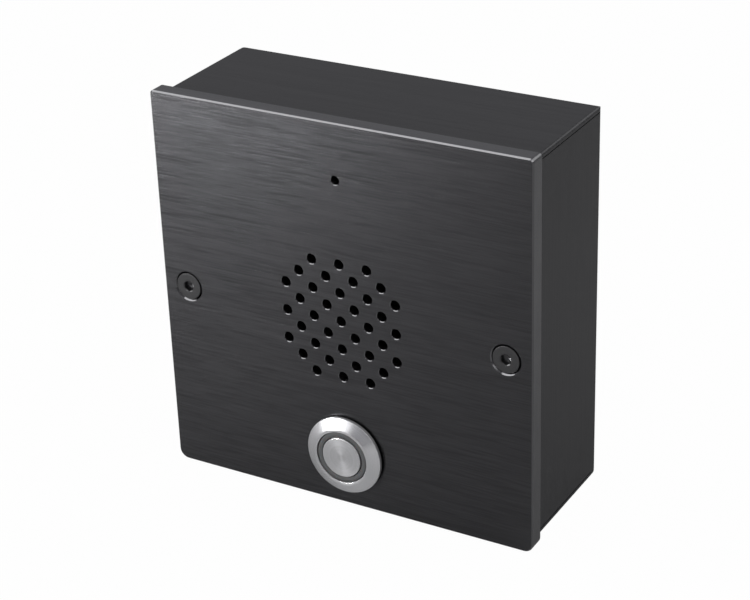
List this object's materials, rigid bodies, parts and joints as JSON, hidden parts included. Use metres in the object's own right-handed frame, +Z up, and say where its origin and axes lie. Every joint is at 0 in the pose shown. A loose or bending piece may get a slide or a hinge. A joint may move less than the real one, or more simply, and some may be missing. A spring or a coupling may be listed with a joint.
{
  "type": "audio intercom panel",
  "caption": "Square wall intercom with a thick black brushed plate on a folded metal box, a loudspeaker behind a round pattern of sound holes, a microphone hole and a lit push button.",
  "frame": {"origin": "centre of the back of the box, the face that lies on the wall", "axes": "+X to the right as seen from the front, +Y into the wall, +Z up; the button faces -Y"},
  "size_m": [0.121, 0.05, 0.121],
  "materials": {
    "plate_black": "black anodised, brushed along the width",
    "box_black": "satin black paint",
    "screw_black": "black oxide",
    "stainless": "turned and brushed",
    "light_plastic": "frosted grey, lit from behind",
    "black_rubber": "matte",
    "black_cloth": "woven",
    "spider_cloth": "resin-stiffened weave",
    "cone_paper": "pressed paper",
    "zinc_steel": "zinc plated",
    "ferrite": "fired ceramic",
    "copper": "wound enamelled wire",
    "contact_brass": "bright",
    "tinned_metal": "tinned",
    "tag_brown": "pressed laminate",
    "black_plastic": "moulded",
    "pale_plastic": "moulded",
    "board_green": "solder mask",
    "block_green": "moulded",
    "lamp_clear": "clear resin",
    "can_blue": "sleeved can",
    "lead_red": "vinyl",
    "lead_grey": "vinyl",
    "lead_blue": "vinyl"
  },
  "bodies": {
    "panel": {"front_plate": "plate_black", "back_box": "box_black", "plate_gasket": "black_rubber", "fixing_brackets": "zinc_steel", "panel_screws": "screw_black", "cable_bush": "black_rubber", "acoustic_cloth": "black_cloth", "speaker_seal": "black_rubber", "speaker_basket": "zinc_steel", "speaker_surround": "black_rubber", "speaker_spider": "spider_cloth", "top_plate": "zinc_steel", "magnet": "ferrite", "yoke": "zinc_steel", "tag_board": "tag_brown", "speaker_tags": "contact_brass", "speaker_studs": "zinc_steel", "speaker_clamps": "zinc_steel", "clamp_nuts": "zinc_steel", "mic_boot": "black_rubber", "mic_capsule": "tinned_metal", "button_bush": "stainless", "bezel_seal": "black_rubber", "light_ring": "light_plastic", "return_spring": "zinc_steel", "switch_guide": "black_plastic", "lamp_board": "board_green", "lamps": "lamp_clear", "lamp_pins": "tinned_metal", "contact_blades": "contact_brass", "switch_base": "black_plastic", "lock_washer": "zinc_steel", "button_nut": "zinc_steel", "circuit_board": "board_green", "board_standoffs": "tinned_metal", "board_screws": "zinc_steel", "network_jack": "tinned_metal", "terminal_block": "block_green", "terminal_screws": "zinc_steel", "capacitors": "can_blue", "transformer": "black_plastic", "chips": "black_plastic", "lead_headers": "pale_plastic", "speaker_leads": "lead_red", "mic_leads": "lead_grey", "button_leads": "lead_blue"},
    "button": {"button_cap": "stainless", "button_stem": "pale_plastic", "contact_bridge": "contact_brass"},
    "cone": {"speaker_cone": "cone_paper", "dust_cap": "cone_paper", "voice_coil": "copper"}
  },
  "joints": [
    {"name": "button_press", "type": "slide", "parent": "panel", "child": "button", "axis": [0, 1, 0], "range_m": [0, 0.002], "stiffness_N_per_m": 1000, "springref_m": -0.001, "deforming": ["return_spring"]},
    {"name": "cone_travel", "type": "slide", "parent": "panel", "child": "cone", "axis": [0, 1, 0], "range_m": [-0.0008, 0.0008], "stiffness_N_per_m": 600, "deforming": ["speaker_surround", "speaker_spider"]}
  ]
}
